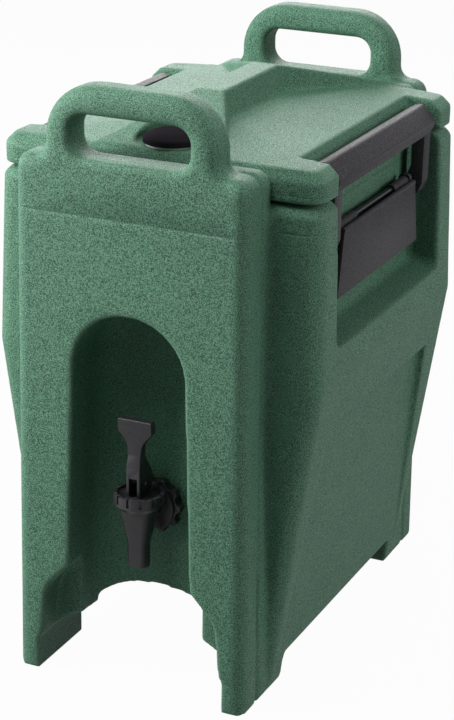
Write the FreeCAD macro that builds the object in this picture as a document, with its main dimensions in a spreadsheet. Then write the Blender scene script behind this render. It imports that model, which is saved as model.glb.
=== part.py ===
"""Insulated beverage carrier, in millimetres.

The origin is at the bottom centre, on the surface that the carrier stands on. +Z is up, the tap faces
-Y, and the two latches are on the +X and -X sides.
"""

import FreeCAD, Part
import math
import os

import Sketcher
from FreeCAD import Placement, Rotation, Vector

doc = FreeCAD.newDocument("Carrier")


# Driving sizes

SIZES = [
    # body, from the surface up
    ("foot_height", 24),
    ("parting_height", 283),
    ("rim_height", 436.5),
    ("rim_bevel", 7),
    ("wing_half_width_low", 108.5),
    ("wing_half_width_parting", 150),
    ("wing_half_width_rim", 146),
    ("wing_half_depth_low", 159.5),
    ("wing_half_depth_parting", 165),
    ("wing_half_depth_rim", 161),
    ("wing_corner_low", 12),
    ("wing_corner_high", 16),
    ("body_half_depth", 207.5),
    ("body_wall", 4),
    ("foam_gap", 0.3),
    # end panels and handles
    ("panel_half_width_low", 108.5),
    ("panel_half_width_top", 103.5),
    ("shoulder_height", 465),
    ("shoulder_radius", 13),
    ("panel_lid_gap", 2.5),
    ("handle_height", 525),
    ("handle_half_width", 77),
    ("handle_thickness", 33),
    ("handle_corner", 44),
    ("handle_root", 10.5),
    ("handle_edge", 9),
    ("panel_edge", 11.5),
    ("grip_half_width", 53),
    ("grip_bottom", 466),
    ("grip_top", 501.5),
    ("grip_corner", 14),
    ("grip_edge", 6),
    ("valley_reach", 12),
    # feet and the arch between them
    ("foot_inner", 88),
    ("foot_length", 80.5),
    ("arch_radius", 133),
    ("arch_crown", 63),
    ("inner_arch_radius", 106),
    ("inner_arch_crown", 74),
    ("inner_arch_reach", 158),
    # tap alcove
    ("alcove_depth", 60.5),
    ("alcove_half_width_top", 49.5),
    ("alcove_half_width_low", 57),
    ("alcove_low_height", 107),
    ("alcove_crown", 339),
    ("alcove_back_radius", 26),
    ("bell_depth", 25.5),
    ("bell_half_width", 80.5),
    ("bell_corner_height", 80),
    ("bell_corner", 28),
    # latch recess and the shallow panel below it
    ("recess_half_length", 122),
    ("recess_back", 118),
    ("recess_floor", 316),
    ("recess_fall", 8),
    ("recess_corner", 8),
    ("side_panel_top", 235),
    ("side_panel_depth", 8),
    ("side_panel_half_top", 118),
    ("side_panel_half_low", 145),
    # tank
    ("tank_half_width", 88),
    ("tank_front_low", 108),
    ("tank_front_high", 142),
    ("tank_rear", 118),
    ("tank_floor_front", 134),
    ("tank_floor_rear", 142),
    ("tank_step_low", 348),
    ("tank_step_high", 374),
    ("tank_corner", 25),
    ("tank_floor_corner", 6),
    # lid
    ("lid_gap", 2.5),
    ("lid_half_width", 145),
    ("lid_half_depth", 159),
    ("lid_corner", 16),
    ("lid_side_height", 17.5),
    ("lid_bevel", 8.5),
    ("lid_roof_height", 473),
    ("lid_roof_half_width", 20),
    ("lid_roof_rear", 148),
    ("ridge_height", 497),
    ("ridge_half_width", 13),
    ("ridge_half_length", 57),
    ("front_slope_reach", 150),
    ("front_slope_height", 466),
    ("front_slope_half_width", 60),
    ("rear_slope_reach", 152),
    ("rear_slope_height", 470.5),
    ("rear_slope_half_width", 85),
    ("notch_half_length", 121),
    ("ledge_reach", 6),
    ("ledge_depth", 6),
    ("ledge_height", 448.7),
    ("notch_lean", 8),
    ("notch_top_height", 466),
    ("lid_plug_depth", 25),
    ("lid_plug_gap", 1.5),
    ("gasket_width", 10),
    ("gasket_gap", 0.2),
    # vent in the lid
    ("vent_reach", 128),
    ("vent_seat_height", 466),
    ("vent_recess_radius", 30),
    ("vent_cap_radius", 24),
    ("vent_cap_height", 10),
    ("vent_neck_radius", 9),
    ("vent_neck_length", 12),
    ("vent_bore_radius", 4),
    ("vent_seal_thickness", 2),
    # foaming holes
    ("foam_hole_radius", 10),
    ("foam_plug_lip", 3),
    ("foam_plug_head", 1.5),
    ("foam_plug_length", 6),
    ("foam_hole_reach", 60),
    # latch
    ("hinge_offset", 10),
    ("hinge_height", 401),
    ("bail_pin_drop", 11),
    ("bail_pin_inset", 2),
    ("pin_radius", 2.5),
    ("pin_clearance", 0.05),
    ("bracket_thickness", 3),
    ("bracket_half_length", 78),
    ("bracket_half_height", 7),
    ("bracket_drop", 18),
    ("ear_thickness", 34),
    ("ear_radius", 4.2),
    ("web_gap", 1),
    ("web_thickness", 5),
    ("web_radius", 5.5),
    ("lever_face_offset", 18.5),
    ("lever_thickness", 4),
    ("lever_top", 399),
    ("lever_bottom", 343),
    ("lever_half_length_top", 84),
    ("lever_half_length_low", 94.5),
    ("lever_lip", 6),
    ("lever_roll_radius", 2.3),
    ("bail_half_length", 113),
    ("bail_arm_width", 16),
    ("bail_boss_length", 9),
    ("bail_boss_radius", 6),
    ("bail_lid_gap", 3),
    ("bail_nose_gap", 0.3),
    ("bail_nose_reach", 2),
    ("bail_top_height", 463.5),
    ("bail_outer_offset", 24),
    ("bail_bar_bottom", 438),
    ("screw_radius", 2),
    ("screw_head_radius", 4),
    ("screw_head_height", 2.4),
    ("screw_length", 12),
    # tap
    ("tap_standoff", 39),
    ("tap_height", 155),
    ("shank_radius", 11),
    ("shank_bore", 7),
    ("shank_gap", 0.5),
    ("collar_lobes", 10),
    ("shank_inside", 16),
    ("collar_width", 14),
    ("collar_thickness", 9),
    ("outer_washer_width", 10),
    ("outer_washer_thickness", 2.5),
    ("tap_flange_width", 9),
    ("tap_flange_thickness", 4),
    ("inner_washer_width", 3.5),
    ("inner_washer_thickness", 2),
    ("lock_nut_wall", 3.5),
    ("lock_nut_thickness", 7),
    ("tap_neck_radius", 9.5),
    ("barrel_radius", 17),
    ("barrel_top", 165),
    ("spout_radius", 9.3),
    ("spout_taper_end", 133),
    ("spout_bottom", 111),
    ("spout_flat_low", 7.6),
    ("spout_flat_top", 13.5),
    ("outlet_radius", 6),
    ("chamber_radius", 8),
    ("seat_height", 144),
    ("bonnet_radius", 21.5),
    ("bonnet_top", 179),
    ("bonnet_rim", 3),
    ("bonnet_deck", 4),
    ("bonnet_skirt", 4.5),
    ("bonnet_plug_length", 2),
    ("bonnet_spring_radius", 6.4),
    ("bonnet_notches", 12),
    ("bonnet_notch_depth", 2.4),
    ("bonnet_notch_width", 2.4),
    ("bonnet_notch_height", 7.5),
    ("stem_radius", 3),
    ("stem_top", 191),
    ("stem_shoulder_radius", 6),
    ("stem_shoulder_height", 2),
    ("tap_pin_radius", 1.5),
    ("tap_pin_height", 187.3),
    ("cup_radius", 7.2),
    ("cup_height", 5),
    ("spring_radius", 5),
    ("spring_wire", 1.2),
    ("spring_turns", 6),
    ("tap_lever_half_width", 6.2),
    ("tap_lever_half_depth", 11.5),
    ("tap_lever_foot_radius", 6),
    ("tap_lever_foot_gap", 0.3),
    ("tap_lever_fork_gap", 3.7),
    ("tap_lever_fork_top", 194),
    ("tap_knee_height", 212),
    ("paddle_half_width", 15.5),
    ("paddle_bottom", 235),
    ("paddle_top", 246),
    ("paddle_reach", 9),
    ("paddle_thickness", 8),
]

sheet = doc.addObject("Spreadsheet::Sheet", "Sizes")


class Size:
    """A number from the sheet, or worked out from it, with the expression that says how."""

    def __init__(self, value, text):
        self.value = float(value)
        self.text = text

    def __add__(self, other):
        other = as_size(other)
        return Size(self.value + other.value, f"({self.text} + {other.text})")

    def __sub__(self, other):
        other = as_size(other)
        return Size(self.value - other.value, f"({self.text} - {other.text})")

    def __mul__(self, other):
        other = as_size(other)
        return Size(self.value * other.value, f"({self.text} * {other.text})")

    def __truediv__(self, other):
        other = as_size(other)
        return Size(self.value / other.value, f"({self.text} / {other.text})")

    def __radd__(self, other):
        return as_size(other) + self

    def __rsub__(self, other):
        return as_size(other) - self

    def __rmul__(self, other):
        return as_size(other) * self

    def __neg__(self):
        return Size(-self.value, f"(-1 * {self.text})")

    def root(self):
        return Size(math.sqrt(self.value), f"sqrt({self.text})")


def as_size(number):
    if isinstance(number, Size):
        return number
    return Size(number, f"({number:.6f})")


class Sheet:
    """The driving sizes by name."""


size = Sheet()
for row, (alias, value) in enumerate(SIZES, start=1):
    sheet.set(f"A{row}", alias)
    sheet.set(f"B{row}", str(value))
    sheet.setAlias(f"B{row}", alias)
    setattr(size, alias, Size(value, f"Sizes.{alias}"))
doc.recompute()


# Helpers

def bind(feature, sizes):
    """Ties the feature's properties to the sheet."""
    for path, number in sizes.items():
        feature.setExpression(path, as_size(number).text)


def box(name, x, y, z):
    """A box between two coordinates on each axis."""
    feature = doc.addObject("Part::Box", name)
    (x0, x1), (y0, y1), (z0, z1) = x, y, z
    bind(feature, {
        "Length": x1 - x0,
        "Width": y1 - y0,
        "Height": z1 - z0,
        "Placement.Base.x": x0,
        "Placement.Base.y": y0,
        "Placement.Base.z": z0,
    })
    return feature


TURNS = {
    "X": Rotation(Vector(0, 1, 0), 90),
    "Y": Rotation(Vector(1, 0, 0), -90),
    "Z": Rotation(),
}


def place_round(feature, axis, centre, start):
    """Puts a round primitive's axis on X, Y or Z, with its base at start along it."""
    along = "XYZ".index(axis)
    base = list(centre)
    base.insert(along, start)
    feature.Placement = Placement(Vector(), TURNS[axis])
    bind(feature, {
        "Placement.Base.x": base[0],
        "Placement.Base.y": base[1],
        "Placement.Base.z": base[2],
    })
    return feature


def cylinder(name, axis, centre, radius, start, end):
    """A cylinder along an axis, with its centre on the two other axes."""
    feature = doc.addObject("Part::Cylinder", name)
    bind(feature, {"Radius": radius, "Height": end - start})
    return place_round(feature, axis, centre, start)


def label(feature, name):
    feature.Label = name
    return feature


def fuse(name, *parts):
    feature = doc.addObject("Part::MultiFuse", name)
    feature.Shapes = list(parts)
    feature.Refine = True
    return feature


def common(name, one, other):
    feature = doc.addObject("Part::Common", name)
    feature.Base = one
    feature.Tool = other
    return feature


def cut(name, base, *tools):
    """The base without the tools, taken away one after another."""
    for number, tool in enumerate(tools, start=1):
        last = number == len(tools)
        feature = doc.addObject("Part::Cut", name if last else f"{name}_{number}")
        feature.Base = base
        feature.Tool = tool
        feature.Refine = last
        base = feature
    return base


def mirrored(name, source):
    """The same piece on the left side."""
    feature = doc.addObject("Part::Mirroring", name)
    feature.Source = source
    feature.Normal = Vector(1, 0, 0)
    return feature


def new_body(name):
    return doc.addObject("PartDesign::Body", name)


def origin_feature(body, role):
    for feature in body.Origin.OriginFeatures:
        if feature.Role == role:
            return feature
    raise ValueError(role)


def new_sketch(body, name, plane, offset):
    """An empty sketch on one of the body's own planes, moved along the plane's normal."""
    sketch = body.newObject("Sketcher::SketchObject", name)
    sketch.AttachmentSupport = [(origin_feature(body, f"{plane}_Plane"), "")]
    sketch.MapMode = "FlatFace"
    bind(sketch, {"AttachmentOffset.Base.z": offset})
    return sketch


def rounded_corner(before, at, after, radius):
    """Where a rounding meets its two sides, its centre, and whether it turns left."""
    back = (before - at).normalize()
    ahead = (after - at).normalize()
    half_angle = back.getAngle(ahead) / 2
    reach = radius / math.tan(half_angle)
    middle = (back + ahead).normalize()
    centre = at + middle * (radius / math.sin(half_angle))
    turns_left = (-back).cross(ahead).z > 0
    return at + back * reach, at + ahead * reach, centre, turns_left


def outline(body, name, plane, corners, offset=0):
    """A closed outline through corners (x, y) or (x, y, radius), each tied to the sheet."""
    sketch = new_sketch(body, name, plane, offset)
    count = len(corners)
    sizes = [(as_size(c[0]), as_size(c[1])) for c in corners]
    radii = [as_size(c[2]) if len(c) > 2 else None for c in corners]
    points = [Vector(x.value, y.value, 0) for x, y in sizes]
    starts = list(points)
    ends = list(points)
    arcs = {}
    for i, radius in enumerate(radii):
        if radius is not None:
            found = rounded_corner(points[i - 1], points[i], points[(i + 1) % count], radius.value)
            ends[i], starts[i], centre, turns_left = found
            arcs[i] = (centre, turns_left)
    for i in range(count):
        sketch.addGeometry(Part.LineSegment(starts[i], ends[(i + 1) % count]), False)
    rules = []
    ties = []

    def tie(kind, *args):
        ties.append((len(rules), args[-1].text))
        rules.append(Sketcher.Constraint(kind, *args[:-1], args[-1].value))

    for i, radius in enumerate(radii):
        side_before = (i - 1) % count
        if radius is None:
            rules.append(Sketcher.Constraint("Coincident", side_before, 2, i, 1))
            tie("DistanceX", -1, 1, i, 1, sizes[i][0])
            tie("DistanceY", -1, 1, i, 1, sizes[i][1])
            continue
        centre, turns_left = arcs[i]
        first, last = (ends[i], starts[i]) if turns_left else (starts[i], ends[i])
        circle = Part.Circle(centre, Vector(0, 0, 1), radius.value)
        angles = [math.atan2(p.y - centre.y, p.x - centre.x) for p in (first, last)]
        arc = sketch.addGeometry(Part.ArcOfCircle(circle, *angles), False)
        corner = sketch.addGeometry(Part.Point(points[i]), True)
        before_end, after_end = (1, 2) if turns_left else (2, 1)
        rules.append(Sketcher.Constraint("Tangent", side_before, 2, arc, before_end))
        rules.append(Sketcher.Constraint("Tangent", i, 1, arc, after_end))
        rules.append(Sketcher.Constraint("PointOnObject", corner, 1, side_before))
        rules.append(Sketcher.Constraint("PointOnObject", corner, 1, i))
        tie("DistanceX", -1, 1, corner, 1, sizes[i][0])
        tie("DistanceY", -1, 1, corner, 1, sizes[i][1])
        tie("Radius", arc, radius)
    sketch.addConstraint(rules)
    for index, text in ties:
        sketch.setExpression(f"Constraints[{index}]", text)
    return sketch


def both_sides(corners):
    """An outline given for positive x only, from bottom to top, with its mirror image added."""
    left = [(-as_size(c[0]), *c[1:]) for c in reversed(corners)]
    return list(corners) + left


def rectangle(half_x, y, radius=None):
    """A rectangle's corners, about x = 0, between two values of y."""
    low, high = y
    tail = () if radius is None else (radius,)
    right = [(half_x, low, *tail), (half_x, high, *tail)]
    return right + [(-as_size(x), y, *more) for x, y, *more in reversed(right)]


def circle(body, name, plane, centre, radius, offset=0):
    """A full circle, its centre and radius tied to the sheet."""
    sketch = new_sketch(body, name, plane, offset)
    x, y = as_size(centre[0]), as_size(centre[1])
    radius = as_size(radius)
    sketch.addGeometry(Part.Circle(Vector(x.value, y.value, 0), Vector(0, 0, 1), radius.value), False)
    sketch.addConstraint(Sketcher.Constraint("DistanceX", -1, 1, 0, 3, x.value))
    sketch.addConstraint(Sketcher.Constraint("DistanceY", -1, 1, 0, 3, y.value))
    sketch.addConstraint(Sketcher.Constraint("Radius", 0, radius.value))
    for index, number in enumerate((x, y, radius)):
        sketch.setExpression(f"Constraints[{index}]", number.text)
    return sketch


def pad(body, sketch, length, symmetric=False, reverse=False, kind="Pad"):
    """Material along the sketch's normal, or taken away where kind is Pocket."""
    feature = body.newObject(f"PartDesign::{kind}", f"{sketch.Name}_{kind.lower()}")
    feature.Profile = sketch
    feature.SideType = "Symmetric" if symmetric else "One side"
    feature.Reversed = reverse
    bind(feature, {"Length": length})
    return feature


def pocket(body, sketch, length, symmetric=False, reverse=False):
    return pad(body, sketch, length, symmetric, reverse, kind="Pocket")


def loft(body, name, sections):
    """A straight-sided loft through outlines."""
    feature = body.newObject("PartDesign::AdditiveLoft", name)
    feature.Profile = sections[0]
    feature.Sections = sections[1:]
    feature.Ruled = True
    return feature


def turn(body, sketch, name, angle=360):
    """A solid of revolution about the sketch's upright axis."""
    feature = body.newObject("PartDesign::Revolution", name)
    feature.Profile = sketch
    feature.ReferenceAxis = (sketch, ["V_Axis"])
    feature.Angle = angle
    return feature


def round_edges(body, name, radius, wanted):
    """Rounds the edges of the body so far that the test picks out."""
    doc.recompute()
    tip = body.Tip
    names = [f"Edge{i}" for i, edge in enumerate(tip.Shape.Edges, start=1) if wanted(edge)]
    if not names:
        raise ValueError(f"{name}: no edge to round")
    feature = body.newObject("PartDesign::Fillet", name)
    feature.Base = (tip, names)
    bind(feature, {"Radius": radius})
    doc.recompute()
    if not feature.Shape.isValid():
        raise ValueError(f"{name}: the rounding isn't sound")
    return feature


def near(a, b):
    return abs(a - b) < 0.01


def all_at(edge, axis, number):
    """Whether the whole edge lies at one value of x, y or z."""
    first, last = edge.ParameterRange
    places = [edge.valueAt(first + (last - first) * part) for part in (0, 0.37, 1)]
    return all(near(getattr(place, axis), as_size(number).value) for place in places)


# Heights and widths that several pieces share

def wing_half_width(height):
    """Half the width of the body's side walls below the parting line."""
    rise = size.wing_half_width_parting - size.wing_half_width_low
    return size.wing_half_width_low + rise * height / size.parting_height


def panel_half_width(height):
    """Half the width of the end panels, which taper from the feet to the shoulders."""
    fall = size.panel_half_width_low - size.panel_half_width_top
    return size.panel_half_width_low - fall * height / size.shoulder_height


lid_bottom = size.rim_height + size.lid_gap
lid_side_top = lid_bottom + size.lid_side_height
lid_rim_top = lid_side_top + size.lid_bevel
panel_inner = size.lid_half_depth + size.panel_lid_gap
alcove_back = size.body_half_depth - size.alcove_depth
foot_inner_end = size.body_half_depth - size.foot_length
arch_centre = size.arch_crown - size.arch_radius
inner_arch_centre = size.inner_arch_crown - size.inner_arch_radius
ledge_edge = size.recess_back + size.ledge_reach
ledge_inner = ledge_edge - size.ledge_depth
notch_top = ledge_inner - size.notch_lean
hinge_x = size.recess_back + size.hinge_offset
bail_pin_x = hinge_x - size.bail_pin_inset
bail_pin_z = size.hinge_height - size.bail_pin_drop
bracket_z = size.hinge_height - size.bracket_drop
web_inner = size.bracket_half_length + size.web_gap
web_outer = web_inner + size.web_thickness
lid_plug_bottom = size.rim_height - size.lid_plug_depth
foam_plug_rim = size.foam_hole_radius + size.foam_plug_lip
body_plug_seat = inner_arch_centre - size.pin_clearance \
    + (size.inner_arch_radius * size.inner_arch_radius - foam_plug_rim * foam_plug_rim).root()
tap_reach = alcove_back + size.tap_standoff
shank_end = size.tank_front_low - size.shank_inside
collar_radius = size.shank_radius + size.collar_width
outer_washer_radius = size.shank_radius + size.outer_washer_width
tap_flange_radius = size.shank_radius + size.tap_flange_width
inner_washer_radius = size.shank_radius + size.inner_washer_width
lock_nut_radius = size.shank_radius + size.lock_nut_wall
collar_front = -alcove_back - size.outer_washer_thickness - size.collar_thickness
inner_washer_end = size.inner_washer_thickness - size.tank_front_low
bonnet_deck_top = size.bonnet_top - size.bonnet_rim
bonnet_skirt = size.barrel_top + size.bonnet_skirt
spring_top = bonnet_deck_top - size.bonnet_deck
spring_bottom = size.seat_height + size.cup_height + size.stem_shoulder_height
MARGIN = 6


# Body

def make_wings():
    """The body's main block: tapered below the parting line, and drawn in a little above it."""
    body = new_body("wing_form")
    sections = [
        ("low", 0, size.wing_half_width_low, size.wing_half_depth_low, size.wing_corner_low),
        ("parting", size.parting_height, size.wing_half_width_parting, size.wing_half_depth_parting,
         size.wing_corner_high),
        ("edge", size.rim_height - size.rim_bevel, size.wing_half_width_rim, size.wing_half_depth_rim,
         size.wing_corner_high),
        ("rim", size.rim_height, size.wing_half_width_rim - size.rim_bevel,
         size.wing_half_depth_rim - size.rim_bevel, size.wing_corner_high - size.rim_bevel),
    ]
    outlines = []
    for name, height, half_width, half_depth, corner in sections:
        corners = rectangle(half_width, (-half_depth, half_depth), corner)
        outlines.append(outline(body, f"wing_{name}", "XY", corners, height))
    loft(body, "wing_loft", outlines)
    return body


def make_panel(name, side):
    """An end panel with its carry handle. side is 1 at the front and -1 at the rear."""
    body = new_body(name)
    face = side * size.body_half_depth
    inward = side > 0
    half = [
        (size.panel_half_width_low, 0),
        (panel_half_width(size.shoulder_height), size.shoulder_height, size.shoulder_radius),
    ]
    handle = [
        (size.handle_half_width, size.shoulder_height, size.handle_root),
        (size.handle_half_width, size.handle_height, size.handle_corner),
    ]
    pad(body, outline(body, f"{name}_face", "XZ", both_sides(half + handle), face), size.handle_thickness,
        reverse=inward)
    grip = rectangle(size.grip_half_width, (size.grip_bottom, size.grip_top), size.grip_corner)
    pocket(body, outline(body, f"{name}_grip", "XZ", grip, face), size.handle_thickness, reverse=not inward)
    face_y = -side * size.body_half_depth.value

    def on_face(edge):
        return all_at(edge, "y", face_y) and edge.BoundBox.ZMax > 1

    def is_grip(edge):
        box_size = edge.BoundBox
        reach = size.grip_half_width.value + 1
        low, high = size.grip_bottom.value - 1, size.grip_top.value + 1
        return -reach < box_size.XMin and box_size.XMax < reach and low < box_size.ZMin and box_size.ZMax < high

    def on_back(edge):
        back = face_y + side * size.handle_thickness.value
        return all_at(edge, "y", back)

    def handle_back(edge):
        return on_back(edge) and not is_grip(edge) and edge.BoundBox.ZMin > size.shoulder_height.value - 0.01 \
            and edge.BoundBox.XMax < size.handle_half_width.value + size.handle_root.value + 0.01 \
            and edge.BoundBox.XMin > -size.handle_half_width.value - size.handle_root.value - 0.01

    round_edges(body, f"{name}_front_edge", size.panel_edge, lambda edge: on_face(edge) and not is_grip(edge))
    round_edges(body, f"{name}_grip_edge", size.grip_edge,
                lambda edge: is_grip(edge) and (on_face(edge) or on_back(edge)))
    round_edges(body, f"{name}_back_edge", size.handle_edge, handle_back)
    slab_start = size.body_half_depth - size.handle_thickness
    dip = [
        (size.grip_half_width + size.grip_edge * 2, size.shoulder_height),
        (size.grip_half_width + size.grip_edge, size.grip_bottom - size.grip_edge),
    ]
    pad(body, outline(body, f"{name}_slab", "XZ", both_sides(half + dip), side * slab_start),
        slab_start - panel_inner, reverse=inward)
    root = [
        (size.panel_half_width_low, 0),
        (panel_half_width(size.rim_height), size.rim_height),
    ]
    pad(body, outline(body, f"{name}_root", "XZ", both_sides(root), side * panel_inner), 16, reverse=inward)
    return body


def make_valley(name, across, along):
    """The soft hollow between an end panel's side and the wing beside it."""
    body = new_body(name)
    sections = [
        ("low", size.foot_height, panel_half_width(size.foot_height) - 2, size.wing_half_depth_low - 12, 5, 1),
        ("parting", size.parting_height, panel_half_width(size.parting_height), size.wing_half_depth_parting,
         size.valley_reach, size.valley_reach * 0.7),
        ("rim", size.rim_height - MARGIN, panel_half_width(size.rim_height), size.wing_half_depth_rim,
         size.valley_reach, size.valley_reach * 0.7),
    ]
    outlines = []
    for part, height, x, y, reach, radius in sections:
        corners = [(x - 6, y - 8), (x + reach, y - 0.6), (x + 0.6, y + 0.6, radius), (x - 0.6, y + reach)]
        if part == "low":
            corners = [(x - 6, y - 8), (x + reach, y - 4), (x + 0.5, y - 0.5, radius), (x - 4, y + reach)]
        corners = [(across * as_size(c[0]), along * as_size(c[1]), *c[2:]) for c in corners]
        if across * along < 0:
            corners.reverse()
        outlines.append(outline(body, f"{name}_{part}", "XY", corners, height))
    loft(body, f"{name}_loft", outlines)
    return body


def make_tunnel(name, grow):
    """The arch under the body, higher between the end plates, and everything between the feet below it."""
    round_arch = cylinder(f"{name}_arch", "Y", (0, arch_centre), size.arch_radius + grow,
                          -size.body_half_depth - MARGIN, size.body_half_depth + MARGIN)
    inner_arch = cylinder(f"{name}_inner_arch", "Y", (0, inner_arch_centre), size.inner_arch_radius + grow,
                          -size.inner_arch_reach - grow, size.inner_arch_reach + grow)
    between = box(f"{name}_between", (-size.foot_inner - grow, size.foot_inner + grow),
                  (-size.body_half_depth - MARGIN, size.body_half_depth + MARGIN),
                  (as_size(-MARGIN), size.inner_arch_crown + grow + MARGIN))
    return common(name, fuse(f"{name}_arches", round_arch, inner_arch), between)


def make_alcove(name, grow):
    """The arched alcove that the tap stands in, open to the front and down to the tunnel."""
    body = new_body(name)
    corner = size.alcove_half_width_top + grow - 0.1
    half = [
        (size.alcove_half_width_low + grow, as_size(-MARGIN)),
        (size.alcove_half_width_low + grow, size.alcove_low_height),
        (size.alcove_half_width_top + grow, size.alcove_crown + grow, corner),
    ]
    depth = size.alcove_depth + grow + MARGIN
    sketch = outline(body, f"{name}_face", "XZ", both_sides(half), size.body_half_depth + MARGIN)
    pad(body, sketch, depth, reverse=True)
    back = -(alcove_back - grow)
    round_edges(body, f"{name}_back_edge", size.alcove_back_radius,
                lambda edge: all_at(edge, "y", back) and edge.BoundBox.ZMax > 0)
    return body


def make_bell(name, grow):
    """The wider opening in the front plate below the alcove, down between the feet."""
    body = new_body(name)
    half = [
        (size.foot_inner + grow, as_size(-MARGIN)),
        (size.bell_half_width + grow, size.bell_corner_height + grow, size.bell_corner),
        (size.alcove_half_width_low + grow - 1, size.alcove_low_height + grow),
    ]
    sketch = outline(body, f"{name}_face", "XZ", both_sides(half), size.body_half_depth + MARGIN)
    pad(body, sketch, size.bell_depth + grow + MARGIN, reverse=True)
    return body


def make_recess(name, grow):
    """The latch recess in the right wall, open to the side and to the top."""
    body = new_body(name)
    outside = size.wing_half_width_parting + MARGIN
    floor = size.recess_floor - grow
    corner = size.recess_corner + grow
    corners = [
        (size.recess_back - grow, floor, corner),
        (outside, floor - size.recess_fall),
        (outside, size.rim_height + MARGIN),
        (size.recess_back - grow, size.rim_height + MARGIN),
    ]
    half_length = size.recess_half_length + grow
    pad(body, outline(body, f"{name}_side", "XZ", corners), half_length * 2, symmetric=True)
    top = (size.rim_height + MARGIN).value

    def end_edge(edge):
        at_end = all_at(edge, "y", half_length) or all_at(edge, "y", -half_length)
        return at_end and edge.BoundBox.ZMin < top - 1 and edge.BoundBox.XMin < outside.value - 1

    round_edges(body, f"{name}_corner", corner - 0.1, end_edge)
    return body


def make_side_panel(name, grow):
    """The shallow panel sunk in the tapered right wall, which fades out at the bottom."""
    body = new_body(name)
    depth = size.side_panel_depth
    outside = size.wing_half_width_parting + MARGIN * 2
    sections = [
        ("low", size.foot_height - grow, wing_half_width(size.foot_height) - 0.3 - grow,
         size.side_panel_half_low),
        ("top", size.side_panel_top + grow, wing_half_width(size.side_panel_top) - depth - grow,
         size.side_panel_half_top),
    ]
    outlines = []
    for part, height, inner, half in sections:
        reach = half + grow
        corners = [(inner, -reach, 3), (outside, -reach), (outside, reach), (inner, reach, 3)]
        outlines.append(outline(body, f"{name}_{part}", "XY", corners, height))
    loft(body, f"{name}_loft", outlines)
    return body


def make_tank(name, grow):
    """The drink tank: its floor falls to the front, and its front wall steps over the alcove."""
    body = new_body(name)
    step = size.tank_corner + 5
    corners = [
        (-size.tank_front_low - grow, size.tank_floor_front - grow),
        (size.tank_rear + grow, size.tank_floor_rear - grow),
        (size.tank_rear + grow, size.rim_height + MARGIN),
        (-size.tank_front_high - grow, size.rim_height + MARGIN),
        (-size.tank_front_high - grow, size.tank_step_high - grow, step + grow),
        (-size.tank_front_low - grow, size.tank_step_low - grow, step),
    ]
    half_width = size.tank_half_width + grow
    pad(body, outline(body, f"{name}_side", "YZ", corners), half_width * 2, symmetric=True)
    top = (size.rim_height + MARGIN).value
    floor_top = size.tank_floor_rear.value + 1

    def wall_edge(edge):
        at_side = all_at(edge, "x", half_width) or all_at(edge, "x", -half_width)
        return at_side and edge.BoundBox.ZMax > floor_top and edge.BoundBox.ZMin < top - 1

    round_edges(body, f"{name}_wall_corner", size.tank_corner + grow, wall_edge)
    round_edges(body, f"{name}_floor_corner", size.tank_floor_corner + grow,
                lambda edge: edge.BoundBox.ZMax < floor_top)
    return body


def make_cavity(name, gap):
    """The space for foam in the body wall, drawn in from it by a gap."""
    inset = size.body_wall + gap
    core = new_body(f"{name}_core")
    outlines = []
    low = size.foot_height + inset + MARGIN
    sections = [
        ("low", low, wing_half_width(low) - inset, size.wing_half_depth_low + 1 - inset, size.wing_corner_low),
        ("parting", size.parting_height, size.wing_half_width_parting - inset,
         size.wing_half_depth_parting - inset, size.wing_corner_high - inset),
        ("rim", size.rim_height - inset, size.wing_half_width_rim - inset, size.wing_half_depth_rim - inset,
         size.wing_corner_high - inset),
    ]
    for part, height, half_width, half_depth, corner in sections:
        corners = rectangle(half_width, (-half_depth, half_depth), corner)
        outlines.append(outline(core, f"{name}_{part}", "XY", corners, height))
    loft(core, f"{name}_loft", outlines)
    ends = new_body(f"{name}_ends")
    half = [
        (size.panel_half_width_low - inset, low + MARGIN),
        (panel_half_width(size.rim_height) - inset, size.rim_height - inset),
    ]
    pad(ends, outline(ends, f"{name}_end_face", "XZ", both_sides(half)), (size.body_half_depth - inset) * 2,
        symmetric=True)
    grow = inset
    recess = make_recess(f"{name}_recess", grow)
    side_panel = make_side_panel(f"{name}_side_panel", grow)
    sleeve = cylinder(f"{name}_sleeve", "Y", (as_size(0), size.tap_height),
                      size.shank_radius + size.shank_gap + grow,
                      -alcove_back - MARGIN, -size.tank_front_low + MARGIN)
    return cut(name, fuse(f"{name}_block", core, ends),
               make_tank(f"{name}_tank", grow),
               make_alcove(f"{name}_alcove", grow),
               make_bell(f"{name}_bell", grow),
               make_tunnel(f"{name}_tunnel", grow),
               recess, mirrored(f"{name}_recess_left", recess),
               side_panel, mirrored(f"{name}_side_panel_left", side_panel),
               sleeve)


def screw_places():
    """Where the bracket screws go: across y and up z."""
    reach = size.bracket_half_length - size.ear_thickness
    return [(reach * part, bracket_z) for part in (-0.75, -0.25, 0.25, 0.75)]


def make_screw_holes(name, radius):
    holes = [
        cylinder(f"{name}_{number}", "X", place, radius,
                 size.recess_back - size.screw_length - MARGIN, size.recess_back + MARGIN)
        for number, place in enumerate(screw_places(), start=1)
    ]
    return fuse(name, *holes)


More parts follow.
